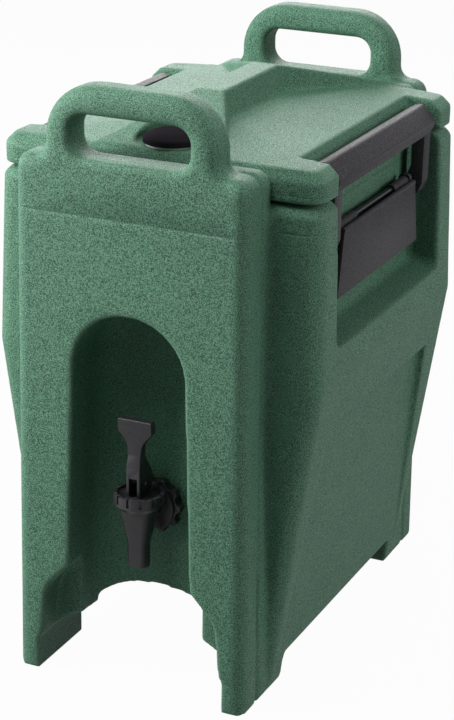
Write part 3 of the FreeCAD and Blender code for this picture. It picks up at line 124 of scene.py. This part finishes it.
def node_group(name, inputs, outputs):
    """An empty shader node group with named sockets; each input is (name, kind, value)."""
    group = bpy.data.node_groups.new(name, "ShaderNodeTree")
    for label, kind, value in inputs:
        group.interface.new_socket(name=label, in_out="INPUT", socket_type=kind).default_value = value
    for label, kind in outputs:
        group.interface.new_socket(name=label, in_out="OUTPUT", socket_type=kind)
    return group, group.nodes.new("NodeGroupInput"), group.nodes.new("NodeGroupOutput")


def add(tree, kind, links=None, **settings):
    """A node in the tree; links maps its input to a value or to another node's output."""
    node = tree.nodes.new(kind)
    for key, value in settings.items():
        setattr(node, key, value)
    for key, value in (links or {}).items():
        if isinstance(value, bpy.types.NodeSocket):
            tree.links.new(value, node.inputs[key])
        else:
            node.inputs[key].default_value = value
    return node


NOISE_LOW, NOISE_HIGH = 0.3, 0.7  # where most of a noise texture's values lie
CLOUDS_PER_METRE = 26.0


def make_grain_group():
    """The grain of a moulding: a fine value round 0.5, its height, and a broad value round 0.5."""
    group, given, result = node_group(
        "moulded grain",
        [("Grains per Metre", "NodeSocketFloat", 900.0), ("Contrast", "NodeSocketFloat", 1.0),
         ("Clouds", "NodeSocketFloat", 0.1)],
        [("Grain", "NodeSocketFloat"), ("Height", "NodeSocketFloat"), ("Cloud", "NodeSocketFloat")])
    where = add(group, "ShaderNodeTexCoord").outputs["Object"]

    def around_half(noise, strength, **settings):
        """The noise's values, spread round 0.5 by its strength."""
        spread = add(group, "ShaderNodeMapRange", {
            "Value": noise.outputs["Fac"], "From Min": NOISE_LOW, "From Max": NOISE_HIGH,
            "To Min": -0.5, "To Max": 0.5})
        scaled = add(group, "ShaderNodeMath", {
            0: spread.outputs[0], 1: given.outputs[strength]}, operation="MULTIPLY")
        return add(group, "ShaderNodeMath", {0: scaled.outputs[0], 1: 0.5}, operation="ADD", **settings).outputs[0]

    fine = add(group, "ShaderNodeTexNoise", {
        "Vector": where, "Scale": given.outputs["Grains per Metre"], "Detail": 2.0, "Roughness": 0.7})
    broad = add(group, "ShaderNodeTexNoise", {
        "Vector": where, "Scale": CLOUDS_PER_METRE, "Detail": 3.0, "Roughness": 0.55})
    group.links.new(around_half(fine, "Contrast", use_clamp=True), result.inputs["Grain"])
    group.links.new(fine.outputs["Fac"], result.inputs["Height"])
    group.links.new(around_half(broad, "Clouds"), result.inputs["Cloud"])
    return group


grain_group = make_grain_group()


def new_material(name):
    """A new material with its node tree and its shader."""
    material = bpy.data.materials.new(name)
    material.use_nodes = True
    tree = material.node_tree
    return material, tree, tree.nodes["Principled BSDF"]


def placed_grain(tree, **values):
    """The grain group in a material's tree, with these inputs set."""
    node = tree.nodes.new("ShaderNodeGroup")
    node.node_tree = grain_group
    for key, value in values.items():
        node.inputs[key.replace("_", " ")].default_value = value
    return node


COLOUR_INPUTS, COLOUR_RESULT = (6, 7), 2  # the sockets of a mix node that are colours


def mixed(tree, factor, first, second):
    """A mix of two colours; each is a colour or another node's output."""
    node = add(tree, "ShaderNodeMix", {"Factor": factor}, data_type="RGBA")
    for index, value in zip(COLOUR_INPUTS, (first, second)):
        if isinstance(value, bpy.types.NodeSocket):
            tree.links.new(value, node.inputs[index])
        else:
            node.inputs[index].default_value = value
    return node.outputs[COLOUR_RESULT]


def colour(red, green, blue):
    """A linear colour from its sRGB numbers, 0 to 255."""
    def linear(number):
        part = number / 255
        return part / 12.92 if part <= 0.04045 else ((part + 0.055) / 1.055) ** 2.4
    return (linear(red), linear(green), linear(blue), 1.0)


FLAT_EDGE, SHARP_EDGE = 0.51, 0.58  # the pointiness where the painted edge highlight starts, and where it is full
# how much of the painted edge highlight colour is mixed in at the sharpest edges
EDGE_HIGHLIGHT_SHARE = 0.35


def moulded(name, dark, light, grains, contrast, clouds, bump, rough, rough_spread=0.1, edge_highlight=None,
            shine=0.5):
    """A moulded plastic: a colour between dark and light by its grain, a fine bump, and a painted highlight on its
    sharp edges.
    """
    material, tree, shader = new_material(name)
    grain = placed_grain(tree, Grains_per_Metre=grains, Contrast=contrast, Clouds=clouds)
    both = add(tree, "ShaderNodeMath", {0: grain.outputs["Grain"], 1: grain.outputs["Cloud"]}, operation="ADD")
    shade = add(tree, "ShaderNodeMath", {0: both.outputs[0], 1: 0.5}, operation="SUBTRACT", use_clamp=True)
    finish = mixed(tree, shade.outputs[0], dark, light)
    # Sharp edges get a lighter colour mixed in by their pointiness: a painted highlight.
    if edge_highlight:
        bent = add(tree, "ShaderNodeNewGeometry").outputs["Pointiness"]
        edge = add(tree, "ShaderNodeMapRange", {
            "Value": bent, "From Min": FLAT_EDGE, "From Max": SHARP_EDGE, "To Min": 0.0, "To Max": EDGE_HIGHLIGHT_SHARE})
        finish = mixed(tree, edge.outputs[0], finish, edge_highlight)
    tree.links.new(finish, shader.inputs["Base Color"])
    roughness = add(tree, "ShaderNodeMapRange", {
        "Value": grain.outputs["Grain"], "From Min": 0.0, "From Max": 1.0,
        "To Min": rough + rough_spread, "To Max": rough - rough_spread})
    tree.links.new(roughness.outputs[0], shader.inputs["Roughness"])
    pits = add(tree, "ShaderNodeBump", {"Height": grain.outputs["Height"], "Strength": 1.0, "Distance": bump})
    tree.links.new(pits.outputs[0], shader.inputs["Normal"])
    shader.inputs["Specular IOR Level"].default_value = shine
    return material


# The lighter edge colour of each plastic is a painted highlight along its sharp edges.
green = moulded(
    "rotomoulded green", colour(15, 60, 42), colour(97, 146, 118), grains=1400, contrast=3.0, clouds=0.1,
    bump=0.0007, rough=0.62, edge_highlight=colour(120, 160, 134), shine=0.45)
latch_grey = moulded(
    "latch grey", colour(6, 5, 8), colour(58, 55, 60), grains=1100, contrast=3.0, clouds=0.15,
    bump=0.0002, rough=0.62, edge_highlight=colour(92, 90, 94), shine=0.22)
tap_black = moulded(
    "tap black", colour(12, 11, 13), colour(46, 44, 48), grains=1100, contrast=1.6, clouds=0.15,
    bump=0.00012, rough=0.34, edge_highlight=colour(78, 76, 80), shine=0.4)
vent_black = moulded(
    "vent black", colour(28, 25, 29), colour(42, 39, 43), grains=1800, contrast=0.6, clouds=0.1,
    bump=0.00001, rough=0.5, rough_spread=0.03, shine=0.0)
rubber = moulded(
    "black rubber", colour(14, 14, 14), colour(26, 25, 25), grains=2000, contrast=0.8, clouds=0.2,
    bump=0.00002, rough=0.62)
silicone = moulded(
    "gasket silicone", colour(176, 178, 172), colour(208, 209, 203), grains=900, contrast=0.5, clouds=0.2,
    bump=0.00002, rough=0.42)
foam = moulded(
    "foam", colour(206, 190, 138), colour(236, 224, 182), grains=1600, contrast=1.0, clouds=0.4,
    bump=0.0004, rough=0.85)


def drawn_steel(name, dark, light):
    """A drawn steel wire or pin, a little uneven in colour and gloss."""
    material, tree, shader = new_material(name)
    shader.inputs["Metallic"].default_value = 1.0
    grain = placed_grain(tree, Grains_per_Metre=1800, Contrast=1.0, Clouds=0.2)
    tree.links.new(mixed(tree, grain.outputs["Grain"], dark, light), shader.inputs["Base Color"])
    roughness = add(tree, "ShaderNodeMapRange", {
        "Value": grain.outputs["Height"], "From Min": 0.0, "From Max": 1.0, "To Min": 0.22, "To Max": 0.42})
    tree.links.new(roughness.outputs[0], shader.inputs["Roughness"])
    return material


steel = drawn_steel("drawn steel", colour(150, 150, 150), colour(196, 196, 194))
blackened_steel = drawn_steel("blackened steel", colour(52, 52, 54), colour(84, 84, 86))


# The two rotomoulded shells

WALL_TOLERANCE = 0.0003  # how far a corner on a hole's wall may lie from its radius
MOST_TRIANGLES = 185000


def on_hole(corner, axis, centre, radius, start, end):
    """Whether a corner lies on the wall of a round hole along an axis."""
    i, j = {"X": (1, 2), "Z": (0, 1)}[axis]
    gap = math.hypot(corner[i] - centre[0], corner[j] - centre[1]) - radius
    return abs(gap) <= WALL_TOLERANCE and start <= corner["XYZ".index(axis)] <= end


def outer_skin(node, name, holes):
    """The outside of a hollow moulding: its foaming and screw holes are closed, its cavity is left away."""
    piece = traced(node, name)
    edit(piece)
    for hole in holes:
        mesh = bmesh.from_edit_mesh(piece.data)
        bpy.ops.mesh.select_all(action="DESELECT")
        for face in mesh.faces:
            if all(on_hole(corner.co, *hole) for corner in face.verts):
                face.select_set(True)
        bmesh.update_edit_mesh(piece.data)
        bpy.ops.mesh.delete(type="FACE")
    bpy.ops.mesh.select_all(action="SELECT")
    bpy.ops.mesh.separate(type="LOOSE")
    done()
    parts = [o for o in bpy.context.selected_objects if o.type == "MESH"]
    parts.sort(key=lambda o: o.dimensions.length)
    skin = parts.pop()
    for part in parts:
        bpy.data.objects.remove(part)
    skin.name = skin.data.name = name
    edit(skin)
    bpy.ops.mesh.select_mode(type="EDGE")
    bpy.ops.mesh.select_non_manifold(extend=False)
    bpy.ops.mesh.fill_holes(sides=0)
    bpy.ops.mesh.select_all(action="SELECT")
    bpy.ops.mesh.normals_make_consistent(inside=False)
    done()
    return skin


def soften(skin, voxel, rounds, kept=None):
    """Rounds every corner of a skin as powder moulding does: voxels, smoothing, then fewer faces.

    kept(place), where it is given, says how far each point is smoothed, from 0 to 1.
    """
    apply(skin, "REMESH", mode="VOXEL", voxel_size=voxel)
    settings = {"factor": 0.5, "iterations": rounds}
    if kept:
        group = skin.vertex_groups.new(name="softened")
        for vertex in skin.data.vertices:
            group.add([vertex.index], kept(vertex.co), "REPLACE")
        settings["vertex_group"] = "softened"
    apply(skin, "SMOOTH", **settings)
    triangles = sum(len(p.vertices) - 2 for p in skin.data.polygons)
    if triangles > MOST_TRIANGLES:
        apply(skin, "DECIMATE", ratio=MOST_TRIANGLES / triangles)
    skin.vertex_groups.clear()
    smooth(skin)


LINE_HALF_WIDTH, LINE_DEPTH = 0.0008, 0.0006
SAME_HEIGHT = 1e-5  # corners within this of the line's height are on the line


def mould_line(skin, height, along):
    """Presses the fine line where the mould's halves met into the skin, where along(place) is true."""
    for step in (-LINE_HALF_WIDTH, 0, LINE_HALF_WIDTH):
        edit(skin)
        bpy.ops.mesh.select_all(action="SELECT")
        bpy.ops.mesh.bisect(plane_co=(0, 0, height + step), plane_no=(0, 0, 1))
        done()
    for vertex in skin.data.vertices:
        if abs(vertex.co.z - height) < SAME_HEIGHT and along(vertex.co):
            vertex.co -= vertex.normal * LINE_DEPTH


FOAM_HOLE = (0, 0.06), 0.01005  # its place in the plan and its radius, the same in the body and in the lid
BODY_FOAM_HOLE_ENDS = 0.055, 0.09
LID_FOAM_HOLE_ENDS = 0.4105, 0.4185
SCREW_HEIGHT, SCREW_HOLE_RADIUS = 0.383, 0.00205
SCREWS_ALONG = 0.011, 0.033, -0.011, -0.033  # where a bracket's screws are in Y
SCREW_HOLE_ENDS = 0.100, 0.119  # how far out the screw holes start and end, on either side
PANEL_START = 0.19  # the raised end panels lie beyond this in Y, and the wings within it
RECESS_WALL_END = 0.112  # the wings' outer faces lie beyond this in X
LID_END, LID_SIDE = 0.15, 0.139  # the lid's outer edges lie beyond these in Y and X
PANEL_LINE, WING_LINE, LID_LINE = 0.4195, 0.4150, 0.4450  # how high the mould lines are

body_holes = [("Z", *FOAM_HOLE, *BODY_FOAM_HOLE_ENDS)]
inside, outside = SCREW_HOLE_ENDS
for y in SCREWS_ALONG:
    screw_hole = (y, SCREW_HEIGHT), SCREW_HOLE_RADIUS
    body_holes.append(("X", *screw_hole, inside, outside))
    body_holes.append(("X", *screw_hole, -outside, -inside))
shell = outer_skin("body_shell", "body_skin", body_holes)
soften(shell, voxel=0.0021, rounds=4)
mould_line(shell, PANEL_LINE, lambda place: abs(place.y) > PANEL_START)
mould_line(shell, WING_LINE, lambda place: abs(place.x) > RECESS_WALL_END and abs(place.y) < PANEL_START)
finish_piece(shell, "body", "shell_green", green, "body_shell")


LEDGE_START, LEDGE_HALF_LENGTH, LEDGE_HEIGHT = 0.106, 0.124, 0.444
LEDGE_SOFTNESS = 0.25


def lid_softness(place):
    """How far a point of the lid is softened: the ledge under the bail's hook stays crisp."""
    on_ledge = abs(place.x) > LEDGE_START and abs(place.y) < LEDGE_HALF_LENGTH and place.z > LEDGE_HEIGHT
    return LEDGE_SOFTNESS if on_ledge else 1.0


lid = outer_skin("lid_shell", "lid_skin", [("Z", *FOAM_HOLE, *LID_FOAM_HOLE_ENDS)])
soften(lid, voxel=0.0017, rounds=4, kept=lid_softness)
mould_line(lid, LID_LINE, lambda place: abs(place.y) > LID_END or abs(place.x) > LID_SIDE)
finish_piece(lid, "lid", "shell_green", green, "lid_shell")


# Small mouldings: the CAD form with its corners broken

FLAT_ANGLE = math.radians(0.5)  # faces that meet at less than this are one face
CORNER_ANGLE = math.radians(38)  # edges sharper than this are rounded
SHADE_ANGLE = 40  # in degrees; edges sharper than this stay sharp in the shading


def add_eased(node, name, width, body, slot, material):
    """The CAD node's form with its edges rounded to a width, riding on its body."""
    piece = traced(node, name)
    apply(piece, "DECIMATE", decimate_type="DISSOLVE", angle_limit=FLAT_ANGLE)
    apply(piece, "BEVEL", width=width, segments=3, limit_method="ANGLE", angle_limit=CORNER_ANGLE,
          harden_normals=False, miter_outer="MITER_ARC")
    smooth(piece, SHADE_ANGLE)
    finish_piece(piece, body, slot, material, node)


for side in SIDES:
    lever, bail, bracket = f"latch_lever_{side}", f"latch_bail_{side}", f"latch_bracket_{side}"
    add_eased(lever, f"lever_{side}", 0.0007, lever, "latch_grey", latch_grey)
    add_eased(bail, f"bail_{side}", 0.0009, bail, "latch_grey", latch_grey)
    add_eased(bracket, f"bracket_{side}", 0.0005, "body", "latch_grey", latch_grey)

add_eased("tap_body", "tap_barrel", 0.0006, "body", "tap_black", tap_black)
add_eased("tap_bonnet", "tap_bonnet_ring", 0.0005, "body", "tap_black", tap_black)
add_eased("tap_collar", "tap_collar_ring", 0.0007, "body", "tap_black", tap_black)
add_eased("tap_lever", "tap_handle", 0.0007, "tap_lever", "tap_black", tap_black)


# The tap's spring, a smoothed copy of its CAD coil with a mesh of its own; the real spring shortens against the
# bonnet as the lever lifts the stem

coil = traced("tap_spring", "tap_spring_coil")
smooth(coil)
finish_piece(coil, "body", "steel", steel, "tap_spring")
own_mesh(coil)


# Pieces that keep their CAD form

finishes = {
    "vent_cap": vent_black,
    "body_foam": foam, "lid_foam": foam,
    "body_foam_plug": latch_grey, "lid_foam_plug": latch_grey,
    "lid_gasket": silicone, "vent_cap_seal": silicone, "tap_seat_cup": silicone,
    "tap_outer_washer": rubber, "tap_inner_washer": rubber,
    "tap_lock_nut": tap_black, "tap_stem": tap_black,
    "tap_lever_pin": steel,
}
for side in SIDES:
    finishes[f"latch_screws_{side}"] = steel
    finishes[f"latch_hinge_rod_{side}"] = blackened_steel
    finishes[f"latch_bail_pins_{side}"] = blackened_steel
for name, material in finishes.items():
    paint(nodes[name], material)


# The room

WHITE = (1, 1, 1, 1)
WHITE_IN_GLOSS = 0.6  # how white the room is where a gloss mirrors it
WHITE_FLOOR = 0.97  # how white the floor is to the camera
ROOM_LIGHT = 0.06  # how much the room lights the carrier
FLOOR_SIZE, FLOOR_DROP = 14, 0.0003  # the drop keeps the floor off the feet's undersides


def whiteness(tree, to_camera):
    """How white the room is to a ray: full or nearly so for the camera and through glass, less in a gloss."""
    path = add(tree, "ShaderNodeLightPath").outputs

    def joined(operation, first, second):
        return add(tree, "ShaderNodeMath", {0: first, 1: second}, operation=operation).outputs[0]

    seen = joined("MAXIMUM", path["Is Camera Ray"], path["Is Transmission Ray"])
    in_gloss = joined("MULTIPLY", path["Is Glossy Ray"], WHITE_IN_GLOSS)
    return joined("MAXIMUM", joined("MULTIPLY", seen, to_camera), in_gloss)


def pale_floor():
    """Grey paint that the camera sees nearly white, and that keeps the shadow."""
    material = bpy.data.materials.new("pale floor")
    material.use_nodes = True
    tree = material.node_tree
    tree.nodes.clear()
    grey = add(tree, "ShaderNodeBsdfDiffuse", {"Color": (0.2, 0.2, 0.2, 1)})
    white = add(tree, "ShaderNodeEmission", {"Color": WHITE, "Strength": 1.0})
    mix = add(tree, "ShaderNodeMixShader", {
        0: whiteness(tree, to_camera=WHITE_FLOOR), 1: grey.outputs[0], 2: white.outputs[0]})
    add(tree, "ShaderNodeOutputMaterial", {"Surface": mix.outputs[0]})
    return material


bpy.ops.mesh.primitive_plane_add(size=FLOOR_SIZE, location=(0, 0, -FLOOR_DROP))
floor = bpy.context.object
floor.name = "floor"
floor.data.materials.append(pale_floor())

world = bpy.data.worlds.new("pale room")
bpy.context.scene.world = world
world.use_nodes = True
tree = world.node_tree
tree.nodes.clear()
level = add(tree, "ShaderNodeMapRange", {
    "Value": whiteness(tree, to_camera=1.0), "To Min": ROOM_LIGHT, "To Max": 1.0})
sky = add(tree, "ShaderNodeBackground", {"Color": WHITE, "Strength": level.outputs[0]})
add(tree, "ShaderNodeOutputWorld", {"Surface": sky.outputs[0]})


def lamp(name, place, aim, size, power):
    """A square soft lamp at a place, facing a point, with its side in metres and its power in watts."""
    light = bpy.data.lights.new(name, "AREA")
    light.shape = "SQUARE"
    light.size = size
    light.energy = power
    piece = bpy.data.objects.new(name, light)
    bpy.context.scene.collection.objects.link(piece)
    piece.location = place
    piece.rotation_euler = (Vector(aim) - Vector(place)).to_track_quat("-Z", "Y").to_euler()


lamp("key lamp", place=(-0.90, -0.62, 0.72), aim=(0, -0.1, 0.30), size=0.5, power=20)
lamp("side lamp", place=(1.72, 0.28, 0.95), aim=(0, 0, 0.25), size=0.7, power=13)
lamp("back lamp", place=(-0.75, 1.95, 1.35), aim=(0, 0, 0.45), size=1.4, power=48)
lamp("top lamp", place=(-0.25, -0.70, 1.80), aim=(0, 0, 0.45), size=0.8, power=17)


# The camera, where the photograph was taken from

AZIMUTH, PITCH, ROLL = math.radians(24.56), math.radians(20.54), math.radians(0.97)
AIM_RIGHT, AIM_HEIGHT, DISTANCE = -0.0054, 0.2346, 1.888
SENSOR_HEIGHT, FOCAL_LENGTH = 36, 104.1  # in millimetres

# The camera's own directions: away from the carrier, and right and up in the picture
back = Vector((math.sin(AZIMUTH) * math.cos(PITCH), -math.cos(AZIMUTH) * math.cos(PITCH), math.sin(PITCH)))
level_right = Vector((math.cos(AZIMUTH), math.sin(AZIMUTH), 0))
level_up = level_right.cross(-back)
right = level_right * math.cos(ROLL) + level_up * math.sin(ROLL)
up = level_up * math.cos(ROLL) - level_right * math.sin(ROLL)
place = level_right * AIM_RIGHT + Vector((0, 0, AIM_HEIGHT)) + back * DISTANCE

lens = bpy.data.cameras.new("photo camera")
lens.sensor_width = lens.sensor_height = SENSOR_HEIGHT
lens.sensor_fit = "VERTICAL"
lens.lens = FOCAL_LENGTH
camera = bpy.data.objects.new("photo camera", lens)
bpy.context.scene.collection.objects.link(camera)
camera.matrix_world = Matrix((
    (right.x, up.x, back.x, place.x),
    (right.y, up.y, back.y, place.y),
    (right.z, up.z, back.z, place.z),
    (0, 0, 0, 1),
))
bpy.context.scene.camera = camera
bpy.context.scene.view_settings.view_transform = "Standard"
